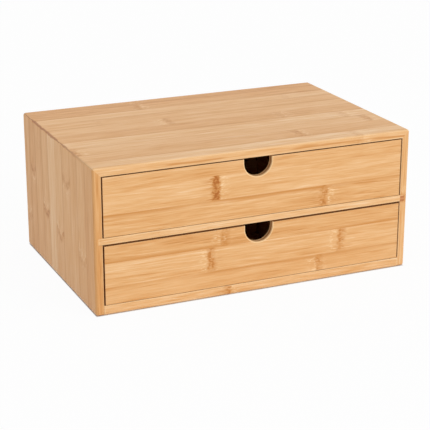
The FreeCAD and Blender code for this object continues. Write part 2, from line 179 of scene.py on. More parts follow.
def make_bamboo_fibres():
    """Fibres along the grain of a strip: each strip gets its own, a little out of true."""
    tree, given, wanted = new_effect(
        "bamboo_fibres",
        {"Board": "Vector", "Strip Tone": "Float", "Seed": "Float", "Figure": "Float"},
        {"Color": "Color", "Fibre": "Float", "Place": "Vector"},
    )
    strip = add_node(tree, "CombineXYZ", {0: given["Strip Tone"], 1: given["Seed"]}).outputs[0]
    chance = add_node(tree, "TexWhiteNoise", {"Vector": strip}, noise_dimensions="3D").outputs
    apart = (STRIPS_APART, STRIPS_APART, STRIPS_APART)
    far_apart = vector_calc(tree, "MULTIPLY", chance["Color"], apart)
    shifted = vector_calc(tree, "ADD", given["Board"], far_apart)
    board = add_node(tree, "SeparateXYZ", {0: given["Board"]}).outputs
    slope = swing(tree, chance["Value"], OUT_OF_TRUE)
    wave = swing(tree, streaks(tree, shifted, 130.0, 18.0, detail=1.0), WANDER)
    drift = calc(tree, "MULTIPLY_ADD", board[0], slope, wave)
    drift = add_node(tree, "CombineXYZ", {1: drift}).outputs[0]
    place = vector_calc(tree, "ADD", shifted, drift)
    fine = streaks(tree, place, 24.0, 0.9)
    streak = streaks(tree, place, 60.0, 2.0)
    broad = streaks(tree, place, 110.0, 8.0, detail=1.0)
    dark_line = ease(tree, streaks(tree, place, 42.0, 1.2, detail=1.0), 0.57, 0.70)
    pale_line = ease(tree, streaks(tree, place, 17.0, 1.0, detail=1.0), 0.60, 0.74)
    strong = ease(tree, chance["Value"], 0.0, 1.0, 0.85, 1.2)
    strong = calc(tree, "MULTIPLY", strong, given["Figure"])
    tone = given["Strip Tone"]
    for texture, reach in ((fine, 1.05), (streak, 0.65), (broad, 0.6)):
        ripple = swing(tree, texture, reach)
        tone = calc(tree, "MULTIPLY_ADD", ripple, strong, tone)
    for line, strength in ((dark_line, -0.4), (pale_line, 0.32)):
        shift = calc(tree, "MULTIPLY", line, strength)
        tone = calc(tree, "MULTIPLY_ADD", shift, given["Figure"], tone)
    ramp = add_node(tree, "ValToRGB", {"Fac": calc(tree, "MULTIPLY_ADD", tone, 0.5, 0.25)})
    fill_ramp(ramp.color_ramp, BAMBOO_SHADES)
    relief = calc(tree, "MULTIPLY_ADD", streak, 0.35, calc(tree, "MULTIPLY", fine, 0.65))
    join(tree, ramp.outputs["Color"], wanted["Color"])
    join(tree, relief, wanted["Fibre"])
    join(tree, place, wanted["Place"])


KNUCKLE_FLECK = colour(253, 219, 172)
KNUCKLE_TAN = colour(207, 142, 76)
KNUCKLE_BROWN = colour(178, 106, 44)


def make_culm_knuckle():
    """The mark where the culm had a joint: a brown band with one sharp side, curled fibres in
    it, brown hairs that trail from its soft side, and pale flecks round about."""
    tree, given, wanted = new_effect(
        "culm_knuckle",
        {
            "Color": "Color", "Place": "Vector", "Along": "Float", "Mark": "Float",
            "Strength": "Float", "Sharp Side": "Float", "Pitch": "Float",
        },
        {"Color": "Color", "Mark": "Float"},
    )
    place, strength = given["Place"], given["Strength"]
    from_mark = calc(tree, "SUBTRACT", given["Along"], given["Mark"])
    half_pitch = calc(tree, "MULTIPLY", given["Pitch"], 0.5)
    nearest = calc(tree, "WRAP", from_mark, half_pitch, calc(tree, "MULTIPLY", half_pitch, -1.0))
    side = calc(tree, "MULTIPLY", nearest, given["Sharp Side"])
    bend = streaks(tree, place, 26.0, 7.0, detail=1.0)
    jag = streaks(tree, place, 7.0, 1.2, detail=1.0)
    side = calc(tree, "ADD", side, swing(tree, bend, 2.5))
    side = calc(tree, "ADD", side, swing(tree, jag, 2.0))
    core = calc(
        tree, "MULTIPLY", ease(tree, side, -11.0, -4.0), ease(tree, side, -1.0, 2.2, 1.0, 0.0)
    )
    curl = ease(tree, streaks(tree, place, 3.2, 1.6, detail=2.0), 0.36, 0.60)
    patch = ease(tree, streaks(tree, place, 5.5, 6.5, detail=1.0), 0.38, 0.58)
    core = calc(tree, "MULTIPLY", core, calc(tree, "MULTIPLY_ADD", curl, 0.45, 0.55))
    core = calc(tree, "MULTIPLY", core, calc(tree, "MULTIPLY_ADD", patch, 0.5, 0.5))
    hair = ease(tree, streaks(tree, place, 15.0, 1.1, detail=1.0), 0.46, 0.62)
    tuft = ease(tree, streaks(tree, place, 40.0, 5.0, detail=1.0), 0.44, 0.58)
    tail = calc(
        tree, "MULTIPLY", ease(tree, side, -24.0, -6.0), ease(tree, side, -4.0, 0.0, 1.0, 0.0)
    )
    tail = calc(tree, "MULTIPLY", tail, calc(tree, "MULTIPLY", hair, tuft))
    brown = calc(tree, "MAXIMUM", core, calc(tree, "MULTIPLY", tail, 0.6))
    brown = calc(tree, "MULTIPLY", brown, strength)
    fleck = ease(tree, streaks(tree, place, 4.5, 1.2, detail=2.0), 0.52, 0.64)
    near = ease(tree, calc(tree, "ABSOLUTE", side), 3.0, 14.0, 0.6, 0.0)
    any_mark = ease(tree, strength, 0.0, 0.35)
    pale = calc(tree, "MULTIPLY", calc(tree, "MULTIPLY", fleck, near), any_mark)
    shade = blend(tree, pale, given["Color"], KNUCKLE_FLECK)
    light_brown = calc(tree, "MINIMUM", calc(tree, "MULTIPLY", brown, 1.8), 1.0)
    shade = blend(tree, light_brown, shade, KNUCKLE_TAN)
    shade = blend(tree, ease(tree, brown, 0.38, 0.95), shade, KNUCKLE_BROWN)
    join(tree, shade, wanted["Color"])
    join(tree, brown, wanted["Mark"])


SOAKED_TINT = colour(208, 188, 168)


def make_cut_end_grain():
    """Wood cut across the grain drinks more lacquer, so it is darker and browner."""
    tree, given, wanted = new_effect(
        "cut_end_grain",
        {"Color": "Color", "Normal": "Vector", "Grain": "Vector", "Place": "Vector"},
        {"Color": "Color"},
    )
    cut = ease(tree, facing(tree, given["Normal"], given["Grain"]), 0.35, 0.95)
    pores = ease(tree, streaks(tree, given["Place"], 0.8, 0.8, detail=1.0), 0.35, 0.65, 0.75, 1.0)
    cut = calc(tree, "MULTIPLY", cut, pores)
    soaked = blend(tree, 1.0, given["Color"], SOAKED_TINT, "MULTIPLY")
    join(tree, blend(tree, cut, given["Color"], soaked), wanted["Color"])


# The pale arris colour: sanding wear and a painted highlight.
WORN_AND_LIT_ARRIS = colour(249, 212, 162)


def make_arris_wear_and_highlight():
    """Where two of the board's faces are near, the arris is a little paler: partly sanding wear,
    partly a painted highlight of the rounding.
    """
    tree, given, wanted = new_effect(
        "arris_wear_and_highlight",
        {"Color": "Color", "Board": "Vector", "Size": "Vector", "Width": "Float"},
        {"Color": "Color"},
    )
    far = vector_calc(tree, "SUBTRACT", given["Size"], given["Board"])
    nearest = vector_calc(tree, "MINIMUM", given["Board"], far)
    gaps = add_node(tree, "SeparateXYZ", {0: nearest}).outputs
    pairs = [
        calc(tree, "MAXIMUM", gaps[first], gaps[second])
        for first, second in ((0, 1), (1, 2), (0, 2))
    ]
    gap = calc(tree, "MINIMUM", pairs[0], calc(tree, "MINIMUM", pairs[1], pairs[2]))
    arris = ease(tree, calc(tree, "DIVIDE", gap, given["Width"]), 0.2, 1.0, 1.0, 0.0)
    # The pale share is partly sanding wear and partly a painted highlight on the rounded arris.
    pale_share = calc(tree, "MULTIPLY", arris, 0.4)
    join(tree, blend(tree, pale_share, given["Color"], WORN_AND_LIT_ARRIS), wanted["Color"])


make_bamboo_fibres()
make_culm_knuckle()
make_cut_end_grain()
make_arris_wear_and_highlight()

LOW_SIDE, HIGH_SIDE, NO_SIDE = 0.0, 1.0, 2.0

# One strip of a board: how pale it is, where its knuckle lies along the grain, how brown that
# mark is (below zero if its sharp side is the lower one), how far apart such marks lie, and
# which side of the strip has the dense rind.
Strip = namedtuple("Strip", "tone knuckle mark pitch rind", defaults=(LOW_SIDE,))

# What the extra paint on a board works with: the material's nodes, the colour so far, the place
# in the frame, the place along, across and through the board, and the board's size that way.
Board = namedtuple("Board", "tree colour place grain_place size")


def no_more(board):
    """A board that has nothing on it but its bamboo."""
    return board.colour


def strip_ramps(tree, across, joints, strips, size):
    """Two ramps over the width of the board. One holds each strip's own numbers. The other
    goes from 0 to 1 over each strip in its red, so that it tells how far a point lies from a
    glue joint, and holds the side of the rind in its green. The board's edges are no joints."""
    edges = [0.0, *joints, size.y]
    here = calc(tree, "DIVIDE", across, size.y)
    own = add_node(tree, "ValToRGB", {"Fac": here})
    own.color_ramp.interpolation = "CONSTANT"
    fill_ramp(
        own.color_ramp,
        [
            (
                edge / size.y,
                (strip.tone, strip.knuckle / size.x, 0.5 + strip.mark / 2, strip.pitch / size.x),
            )
            for edge, strip in zip(edges, strips)
        ],
    )
    just_under = 0.0001
    off_joint = 0.3
    stops = []
    for low, high, strip in zip(edges, edges[1:], strips):
        start = 0.0 if low > 0.0 else off_joint
        end = 1.0 if high < size.y else 1.0 - off_joint
        stops.append((low / size.y, (start, strip.rind, 0.0, 1.0)))
        stops.append((high / size.y - just_under, (end, strip.rind, 0.0, 1.0)))
    over = add_node(tree, "ValToRGB", {"Fac": here})
    fill_ramp(over.color_ramp, stops)
    return own.outputs, over.outputs["Color"]


def unit_vector(axis):
    return Vector([float(index == axis) for index in range(3)])


DENSE_BAMBOO = colour(206, 140, 72)
# The tint of bare wood, darkened further as painted shade for the inside of the closed chest.
BARE_WOOD_AND_SHADE_TINT = colour(220, 208, 192)


def bamboo_board(
    node, order, joints, strips, seed,
    extra=no_more, figure=1.0, arch=0.0, arris=0.9, rough=0.44, edge_tone=None, raw_and_shaded=False,
):
    """Gives a board its bamboo. The order names the axes along the grain, across the strips and
    through the board, and joints are how far the glue joints lie from its low edge. The edge
    tone is that of the narrow faces along the grain, where it isn't the outer strips' own. The
    arch is how far a knuckle's middle dips."""
    low, high = (corner * MM_PER_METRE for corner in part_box(node))
    axes = ["XYZ".index(axis) for axis in order]
    size = Vector([high[axis] - low[axis] for axis in axes])
    material = bpy.data.materials.new(f"{node}_bamboo")
    material.use_nodes = True
    tree = material.node_tree
    tree.nodes.clear()

    normal = add_node(tree, "TexCoord").outputs["Normal"]
    place = place_in_mm(tree)
    from_corner = add_node(tree, "Mapping", {"Vector": place, "Location": -low}).outputs[0]
    parts = add_node(tree, "SeparateXYZ", {0: from_corner}).outputs
    board = add_node(tree, "CombineXYZ", enumerate(parts[axis] for axis in axes)).outputs[0]
    along, across = parts[axes[0]], parts[axes[1]]

    own, over_and_rind = strip_ramps(tree, across, joints, strips, size)
    over, rind_side = list(add_node(tree, "SeparateColor", {0: over_and_rind}).outputs)[:2]
    at_joint = calc(tree, "PINGPONG", over, 0.5)
    tone, knuckle_share, mark = list(add_node(tree, "SeparateColor", {0: own["Color"]}).outputs)
    if edge_tone is not None:
        narrow = ease(tree, facing(tree, normal, unit_vector(axes[1])), 0.75, 0.95)
        shift = calc(tree, "SUBTRACT", edge_tone, tone)
        tone = calc(tree, "MULTIPLY_ADD", narrow, shift, tone)
    signed_mark = swing(tree, mark, 1.0)
    fibres = use_effect(
        tree, "bamboo_fibres",
        {"Board": board, "Strip Tone": tone, "Seed": float(seed), "Figure": figure},
    )
    knuckle = use_effect(
        tree, "culm_knuckle",
        {
            "Color": fibres["Color"],
            "Place": fibres["Place"],
            "Along": calc(tree, "MULTIPLY_ADD", at_joint, 2 * arch, along),
            "Mark": calc(tree, "MULTIPLY", knuckle_share, size.x),
            "Strength": calc(tree, "ABSOLUTE", signed_mark),
            "Sharp Side": calc(tree, "SIGN", signed_mark),
            "Pitch": calc(tree, "MULTIPLY", own["Alpha"], size.x),
        },
    )
    glue = ease(tree, at_joint, 0.005, 0.02, 0.55, 0.0)
    rind_shown = ease(tree, streaks(tree, fibres["Place"], 130.0, 9.0, detail=1.0), 0.37, 0.59)
    off_rind = calc(tree, "ABSOLUTE", calc(tree, "SUBTRACT", over, rind_side))
    dense_rind = calc(tree, "MULTIPLY", ease(tree, off_rind, 0.0, 0.17, 0.85, 0.0), rind_shown)
    brown = calc(tree, "MAXIMUM", glue, dense_rind)
    end_grain = use_effect(
        tree, "cut_end_grain",
        {
            "Color": blend(tree, brown, knuckle["Color"], DENSE_BAMBOO),
            "Normal": normal,
            "Grain": unit_vector(axes[0]),
            "Place": fibres["Place"],
        },
    )
    eased = use_effect(
        tree, "arris_wear_and_highlight",
        {"Color": end_grain["Color"], "Board": board, "Size": size, "Width": arris},
    )
    shade = eased["Color"]
    # Bare wood is duller, and this tint also darkens it as painted shade for the chest's dark
    # inside.
    if raw_and_shaded:
        shade = blend(tree, 1.0, shade, BARE_WOOD_AND_SHADE_TINT, "MULTIPLY")
    shade = extra(Board(tree, shade, place, board, size))

    height = calc(tree, "MULTIPLY_ADD", knuckle["Mark"], -0.6, fibres["Fibre"])
    bump = add_node(tree, "Bump", {"Height": height, "Strength": 0.35, "Distance": 0.0002})
    shader = add_node(
        tree, "BsdfPrincipled",
        {
            "Base Color": shade,
            "Roughness": ease(tree, fibres["Fibre"], 0.25, 0.75, rough + 0.06, rough - 0.06),
            "Normal": bump.outputs[0],
            "IOR": 1.46,
            "Specular IOR Level": 0.3,
        },
    )
    output = add_node(tree, "OutputMaterial")
    tree.links.new(shader.outputs[0], output.inputs["Surface"])
    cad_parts[node].material_slots[0].material = material


MITRE_GLUE = colour(165, 86, 30)


def glued_mitre(board):
    """The mitre's glue line: dark brown, ragged, and fainter towards the front."""
    tree, place = board.tree, board.place
    x, y, z = list(add_node(tree, "SeparateXYZ", {0: place}).outputs)
    inwards = calc(tree, "SUBTRACT", case_high.x, calc(tree, "ABSOLUTE", x))
    downwards = calc(tree, "SUBTRACT", case_high.z, z)
    ragged = streaks(tree, place, 7.0, 7.0, detail=2.0)
    off_line = calc(tree, "SUBTRACT", inwards, downwards)
    off_line = calc(tree, "ADD", off_line, swing(tree, ragged, 1.7))
    width = ease(tree, streaks(tree, place, 30.0, 30.0, detail=1.0), 0.35, 0.65, 0.5, 1.9)
    off_line = calc(tree, "DIVIDE", calc(tree, "ABSOLUTE", off_line), width)
    line = ease(tree, off_line, 0.6, 1.3, 1.0, 0.0)
    strength = ease(tree, y, case_low.y, case_low.y + 110.0, 0.0, 0.65)
    return blend(tree, calc(tree, "MULTIPLY", line, strength), board.colour, MITRE_GLUE)


DENSE_LAYER = colour(204, 136, 68)
DENSE_LAYER_DEPTH = 4.8


def mitred_top(board):
    """The top has the mitre's glue line, and a denser, browner layer shows in its front edge."""
    tree, place = board.tree, board.place
    shade = glued_mitre(board)
    y, z = list(add_node(tree, "SeparateXYZ", {0: place}).outputs)[1:]
    layer = swing(tree, streaks(tree, place, 90.0, 90.0, detail=1.0), 2.0)
    off_layer = calc(tree, "SUBTRACT", case_high.z - DENSE_LAYER_DEPTH, z)
    off_layer = calc(tree, "SUBTRACT", off_layer, layer)
    layer = ease(tree, calc(tree, "ABSOLUTE", off_layer), 0.3, 1.3, 0.75, 0.0)
    in_front = ease(tree, y, case_low.y + 0.3, case_low.y + 0.8, 1.0, 0.0)
    shown = ease(tree, streaks(tree, place, 55.0, 55.0, detail=1.0), 0.34, 0.52)
    layer = calc(tree, "MULTIPLY", calc(tree, "MULTIPLY", layer, in_front), shown)
    return blend(tree, layer, shade, DENSE_LAYER)


# The strips of the top, from the front one to the back one.
bamboo_board(
    "top_panel", "XYZ",
    joints=(19.5, 44.5, 67.0, 89.5, 113.0, 136.0, 158.0, 178.0, 200.0),
    strips=(
        Strip(tone=0.92, knuckle=277.0, mark=0.25, pitch=290.0),
        Strip(tone=0.40, knuckle=226.0, mark=0.50, pitch=300.0),
        Strip(tone=0.60, knuckle=5.0, mark=0.50, pitch=310.0),
        Strip(tone=0.82, knuckle=300.0, mark=0.24, pitch=320.0),
        Strip(tone=0.25, knuckle=240.0, mark=0.30, pitch=330.0),
        Strip(tone=0.52, knuckle=120.0, mark=-0.45, pitch=280.0),
        Strip(tone=0.45, knuckle=60.0, mark=0.10, pitch=300.0),
        Strip(tone=0.68, knuckle=279.0, mark=0.15, pitch=305.0),
        Strip(tone=0.15, knuckle=118.0, mark=0.45, pitch=295.0),
        Strip(tone=0.10, knuckle=117.0, mark=-0.35, pitch=315.0),
    ),
    seed=1, extra=mitred_top, figure=0.82, arris=1.6, edge_tone=0.58,
)


# The two sides: boards of the same strips, with the grain upright. Each is mitred to the top,
# has a dado for the shelf and a rebate for the back, and is doweled and glued to the base.

# The middle of a small knuckle in the right side's front edge, how far it reaches from there,
# and how far above and below the middle its two darker spots lie.
EDGE_KNUCKLE = Vector((159.5, case_low.y, 72.2))
EDGE_KNUCKLE_REACH = Vector((2.0, 0.5, 2.9))
EDGE_KNUCKLE_SPOTS = 1.7
EDGE_KNUCKLE_TAN = colour(214, 151, 101)
EDGE_KNUCKLE_BROWN = colour(185, 114, 62)


def knuckle_by_the_shelf(board):
    """A small knuckle in the right side's front edge, which stained the shelf's end as well."""
    tree, place = board.tree, board.place
    off = vector_calc(tree, "ABSOLUTE", vector_calc(tree, "SUBTRACT", place, EDGE_KNUCKLE))
    off = list(add_node(tree, "SeparateXYZ", {0: off}).outputs)
    past = [calc(tree, "SUBTRACT", off[axis], EDGE_KNUCKLE_REACH[axis]) for axis in range(3)]
    ragged = swing(tree, streaks(tree, place, 4.0, 4.0), 1.0)
    border = calc(tree, "ADD", calc(tree, "MAXIMUM", past[0], past[2]), ragged)
    mark = ease(tree, border, -0.4, 0.8, 0.95, 0.0)
    mark = calc(tree, "MULTIPLY", mark, ease(tree, past[1], 0.0, 2.5, 1.0, 0.0))
    off_spot = calc(tree, "ABSOLUTE", calc(tree, "SUBTRACT", off[2], EDGE_KNUCKLE_SPOTS))
    dark = ease(tree, off_spot, 0.4, 1.5, 0.95, 0.2)
    brown = blend(tree, dark, EDGE_KNUCKLE_TAN, EDGE_KNUCKLE_BROWN)
    return blend(tree, mark, board.colour, brown)


def mitred_side_with_knuckle(board):
    """The right side has the mitre's glue line and that small knuckle."""
    return knuckle_by_the_shelf(board._replace(colour=glued_mitre(board)))


# The strips of each side, from the front one to the back one.
SIDE_JOINTS = (22.0, 45.0, 66.0, 89.5, 112.0, 134.0, 155.0, 177.0, 195.0)
bamboo_board(
    "left_side_panel", "ZYX",
    joints=SIDE_JOINTS,
    strips=(
        Strip(tone=0.16, knuckle=100.0, mark=0.06, pitch=260.0),
        Strip(tone=0.36, knuckle=50.5, mark=0.42, pitch=270.0),
        Strip(tone=0.40, knuckle=20.0, mark=0.06, pitch=290.0),
        Strip(tone=0.42, knuckle=108.0, mark=-0.52, pitch=280.0),
        Strip(tone=0.56, knuckle=55.0, mark=0.66, pitch=300.0),
        Strip(tone=0.98, knuckle=10.0, mark=0.06, pitch=310.0),
        Strip(tone=0.36, knuckle=65.5, mark=0.72, pitch=290.0),
        Strip(tone=0.26, knuckle=130.0, mark=0.10, pitch=270.0),
        Strip(tone=0.12, knuckle=91.0, mark=-0.66, pitch=285.0),
        Strip(tone=0.22, knuckle=43.0, mark=0.50, pitch=295.0),
    ),
    seed=2, extra=glued_mitre, edge_tone=0.12, figure=0.6, arch=8.0,
)
bamboo_board(
    "right_side_panel", "ZYX",
    joints=SIDE_JOINTS,
    strips=(
        Strip(tone=0.48, knuckle=76.0, mark=0.60, pitch=260.0),
        Strip(tone=0.72, knuckle=30.0, mark=-0.35, pitch=270.0),
        Strip(tone=0.35, knuckle=118.0, mark=0.45, pitch=290.0),
        Strip(tone=0.64, knuckle=66.0, mark=0.15, pitch=280.0),
        Strip(tone=0.52, knuckle=24.0, mark=-0.55, pitch=300.0),
        Strip(tone=0.86, knuckle=95.0, mark=0.30, pitch=310.0),
        Strip(tone=0.30, knuckle=46.0, mark=0.60, pitch=290.0),
        Strip(tone=0.58, knuckle=110.0, mark=-0.20, pitch=270.0),
        Strip(tone=0.44, knuckle=78.0, mark=0.50, pitch=285.0),
        Strip(tone=0.68, knuckle=15.0, mark=0.30, pitch=295.0),
    ),
    seed=9, extra=mitred_side_with_knuckle, edge_tone=0.45, figure=0.8,
)


# The base and the shelf: boards with the grain from left to right. The base stands between the
# sides on blind dowels; the shelf slides from behind into the sides' dadoes and is glued there.

STRIP_WIDTH = 22.5
NARROWEST_STRIP = 1.0


def strips_from_the_pile(node, order, seed, middle_tone=0.55, front=None):
    """Joints and strips of a board whose strips were taken as they came, the same on each run.
    The strip along its low edge can be a chosen one."""
    low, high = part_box(node)
    size = (high - low) * MM_PER_METRE
    length, width = (size["XYZ".index(axis)] for axis in order[:2])
    chance = random.Random(seed)
    joints = []
    edge = STRIP_WIDTH * chance.uniform(0.45, 1.0)
    while edge < width - NARROWEST_STRIP:
        joints.append(edge)
        edge += STRIP_WIDTH * chance.uniform(0.94, 1.06)
    strips = [
        Strip(
            tone=middle_tone + chance.uniform(-0.3, 0.3),
            knuckle=length * chance.uniform(0.08, 0.92),
            mark=chance.uniform(0.15, 0.7) * chance.choice((-1, 1)),
            pitch=chance.uniform(240.0, 320.0),
        )
        for _ in range(len(joints) + 1)
    ]
    if front:
        strips[0] = front
    return {"joints": joints, "strips": strips, "seed": seed}


BASE_FRONT_STRIP = Strip(tone=0.82, knuckle=128.2, mark=0.6, pitch=300.0)
SHELF_FRONT_STRIP = Strip(tone=0.80, knuckle=60.0, mark=0.1, pitch=300.0)
bamboo_board(
    "base_panel", "XYZ", arris=1.5,
    **strips_from_the_pile("base_panel", "XYZ", seed=11, front=BASE_FRONT_STRIP),
)
bamboo_board(
    "shelf_panel", "XYZ", extra=knuckle_by_the_shelf, arris=1.5,
    **strips_from_the_pile("shelf_panel", "XYZ", seed=12, front=SHELF_FRONT_STRIP),
)


# The back: a thin bamboo board in the rebates behind the case, a hair inside its rear edges.
# It is held by a row of small steel pins round its border.

bamboo_board(
    "back_panel", "XZY", arris=0.3,
    **strips_from_the_pile("back_panel", "XZY", seed=21, middle_tone=0.5),
)

# All in millimetres but the corners, which make a head round.
PIN_HEAD_RADIUS = 1.2
PIN_HEAD_HEIGHT = 0.25
PIN_HEAD_CORNERS = 16
PIN_INSET = 2.0
PIN_PITCH = 52.0


def pinned_border():
    """A tree that sets pin heads at even steps round an upright rectangle."""
    tree = bpy.data.node_groups.new("pinned_border", "GeometryNodeTree")
    tree.interface.new_socket("Geometry", in_out="OUTPUT", socket_type="NodeSocketGeometry")
    for name in ("Width", "Height", "Pitch", "Head Radius", "Head Height"):
        tree.interface.new_socket(name, in_out="INPUT", socket_type="NodeSocketFloat")
    tree.interface.new_socket("Middle", in_out="INPUT", socket_type="NodeSocketVector")
    tree.interface.new_socket("Material", in_out="INPUT", socket_type="NodeSocketMaterial")

    part = functools.partial(add_node, tree, family="GeometryNode")
    given = tree.nodes.new("NodeGroupInput").outputs
    sides = {"Width": given["Width"], "Height": given["Height"]}
    border = part("CurvePrimitiveQuadrilateral", sides).outputs["Curve"]
    pitch = {"Curve": border, "Length": given["Pitch"]}
    steps = part("ResampleCurve", pitch, mode="LENGTH").outputs["Curve"]
    head = part(
        "MeshCylinder",
        {
            "Vertices": PIN_HEAD_CORNERS,
            "Radius": given["Head Radius"],
            "Depth": given["Head Height"],
        },
    ).outputs["Mesh"]
    heads = part("InstanceOnPoints", {"Points": steps, "Instance": head}).outputs["Instances"]
    upright = part(
        "Transform",
        {
            "Geometry": part("RealizeInstances", {"Geometry": heads}).outputs[0],
            "Translation": given["Middle"],
            "Rotation": Euler((math.pi / 2, 0.0, 0.0)),
        },
    ).outputs["Geometry"]
    coat = {"Geometry": upright, "Material": given["Material"]}
    coated = part("SetMaterial", coat).outputs["Geometry"]
    join(tree, coated, tree.nodes.new("NodeGroupOutput").inputs["Geometry"])
    return tree


SPECK_STEEL = colour(150, 148, 144)
BRIGHT_STEEL = colour(204, 202, 197)


def pin_steel():
    """Drawn steel, dull from the hammer, with darker specks."""
    material = bpy.data.materials.new("pin_steel")
    material.use_nodes = True
    tree = material.node_tree
    shader = tree.nodes["Principled BSDF"]
    specks = streaks(tree, place_in_mm(tree), 0.7, 0.7)
    steel = blend(tree, ease(tree, specks, 0.4, 0.65), SPECK_STEEL, BRIGHT_STEEL)
    join(tree, steel, shader.inputs["Base Color"])
    join(tree, ease(tree, specks, 0.3, 0.7, 0.5, 0.32), shader.inputs["Roughness"])
    shader.inputs["Metallic"].default_value = 1.0
    return material


def set_inputs(modifier, values):
    """Sets a modifier's named inputs, which Blender keeps under each socket's identifier."""
    sockets = {
        item.name: item.identifier
        for item in modifier.node_group.interface.items_tree
        if item.in_out == "INPUT"
    }
    for name, value in values.items():
        modifier[sockets[name]] = value


def plain_mesh(name, modifier_values, tree):
    """The mesh that a tree makes, as an object of its own with nothing live on it."""
    maker = bpy.data.objects.new(f"{name}_maker", bpy.data.meshes.new(f"{name}_maker"))
    bpy.context.scene.collection.objects.link(maker)
    modifier = maker.modifiers.new(name, "NODES")
    modifier.node_group = tree
    set_inputs(modifier, modifier_values)
    bpy.context.view_layer.update()
    made = maker.evaluated_get(bpy.context.evaluated_depsgraph_get())
    mesh = bpy.data.meshes.new_from_object(made)
    bpy.data.objects.remove(maker)
    mesh.name = name
    piece = bpy.data.objects.new(name, mesh)
    bpy.context.scene.collection.objects.link(piece)
    return piece


back_low, back_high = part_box("back_panel")
back_size = back_high - back_low
back_middle = Vector((back_low.x + back_size.x / 2, back_high.y, back_low.z + back_size.z / 2))
inset = 2 * PIN_INSET / MM_PER_METRE
pins = plain_mesh(
    "back_panel_pins",
    {
        "Width": back_size.x - inset,
        "Height": back_size.z - inset,
        "Pitch": PIN_PITCH / MM_PER_METRE,
        "Head Radius": PIN_HEAD_RADIUS / MM_PER_METRE,
        "Head Height": 2 * PIN_HEAD_HEIGHT / MM_PER_METRE,
        "Middle": back_middle,
        "Material": pin_steel(),
    },
    pinned_border(),
)
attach(pins, "case")


# The dowels: turned hardwood pegs, left bare, glued into blind holes in the base and the sides.

DOWEL_BROWN = colour(188, 146, 104)
DOWEL_PALE = colour(224, 188, 146)
DOWEL_RAY = colour(160, 112, 74)
dowel_wood = bpy.data.materials.new("dowel_wood")
dowel_wood.use_nodes = True
dowel_tree = dowel_wood.node_tree
dowel_place = place_in_mm(dowel_tree)
dowel_grain = streaks(dowel_tree, dowel_place, 12.0, 0.5)
dowel_rays = ease(dowel_tree, streaks(dowel_tree, dowel_place, 2.5, 0.35), 0.58, 0.7)
dowel_shade = blend(dowel_tree, dowel_grain, DOWEL_BROWN, DOWEL_PALE)
dowel_shade = blend(dowel_tree, dowel_rays, dowel_shade, DOWEL_RAY)
dowel_shader = dowel_tree.nodes["Principled BSDF"]
join(dowel_tree, dowel_shade, dowel_shader.inputs["Base Color"])
dowel_rough = ease(dowel_tree, dowel_grain, 0.3, 0.7, 0.8, 0.62)
join(dowel_tree, dowel_rough, dowel_shader.inputs["Roughness"])
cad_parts["base_dowels"].material_slots[0].material = dowel_wood


# The drawer fronts: one board each, three strips high, with the grain from left to right. The
# finger notch is sawn from the upper edge, and its rim is rounded. All other edges are eased.

NOTCH_RADIUS = 14.5
NOTCH_DEPTH = 18.2
NOTCH_WALL_MIDDLE = 3.0
GAP_SHADE_PAINT = colour(106, 63, 33)
NOTCH_WALL_SHADE = colour(176, 118, 70)
NOTCH_RIM_HIGHLIGHT = colour(254, 218, 166)


def gap_shade_and_notch_light(notch_shift):
    """Paint for a front whose notch lies this far right of its middle. Its edges get painted shade
    near the face, which darkens the gaps round the closed front; the notch's wall gets a band of
    painted shade in its middle, and its rims get painted highlights."""

    def extra(board):
        tree, size = board.tree, board.size
        along, across, deep = list(add_node(tree, "SeparateXYZ", {0: board.grain_place}).outputs)
        to_end = calc(tree, "MINIMUM", along, calc(tree, "SUBTRACT", size.x, along))
        to_edge = calc(tree, "MINIMUM", across, calc(tree, "SUBTRACT", size.y, across))
        # Painted shade: the front's edges are darkened near its face, so that the gaps round the
        # closed front look dark.
        gap_shade = ease(tree, calc(tree, "MINIMUM", to_end, to_edge), 0.05, 0.2, 0.8, 0.0)
        gap_shade = calc(tree, "MULTIPLY", gap_shade, ease(tree, deep, 0.6, 4.6, 1.0, 0.0))
        shade = blend(tree, gap_shade, board.colour, GAP_SHADE_PAINT)
        aside = calc(tree, "SUBTRACT", along, size.x / 2 + notch_shift)
        centre_height = size.y - NOTCH_DEPTH + NOTCH_RADIUS
        below = calc(tree, "MINIMUM", calc(tree, "SUBTRACT", across, centre_height), 0.0)
        from_centre = calc(
            tree, "SQRT",
            calc(tree, "ADD", calc(tree, "POWER", aside, 2.0), calc(tree, "POWER", below, 2.0)),
        )
        off_rim = calc(tree, "SUBTRACT", from_centre, NOTCH_RADIUS)
        # Painted shade: a brown band along the middle of the notch's wall.
        on_wall = ease(tree, off_rim, 0.1, 0.3, 0.6, 0.0)
        off_middle = calc(tree, "ABSOLUTE", calc(tree, "SUBTRACT", deep, NOTCH_WALL_MIDDLE))
        middle = ease(tree, off_middle, 0.6, 1.6, 1.0, 0.0)
        shade = blend(tree, calc(tree, "MULTIPLY", on_wall, middle), shade, NOTCH_WALL_SHADE)
        # Painted highlight: the notch's front and back rims are pale, as where their roundings
        # catch the light.
        front_rim = ease(tree, deep, 1.6, 2.4, 1.0, 0.0)
        pale_share = calc(tree, "MAXIMUM", front_rim, ease(tree, deep, 3.8, 4.6))
        rim = calc(tree, "MULTIPLY", ease(tree, off_rim, 0.7, 1.5, 0.65, 0.0), pale_share)
        return blend(tree, rim, shade, NOTCH_RIM_HIGHLIGHT)

    return extra


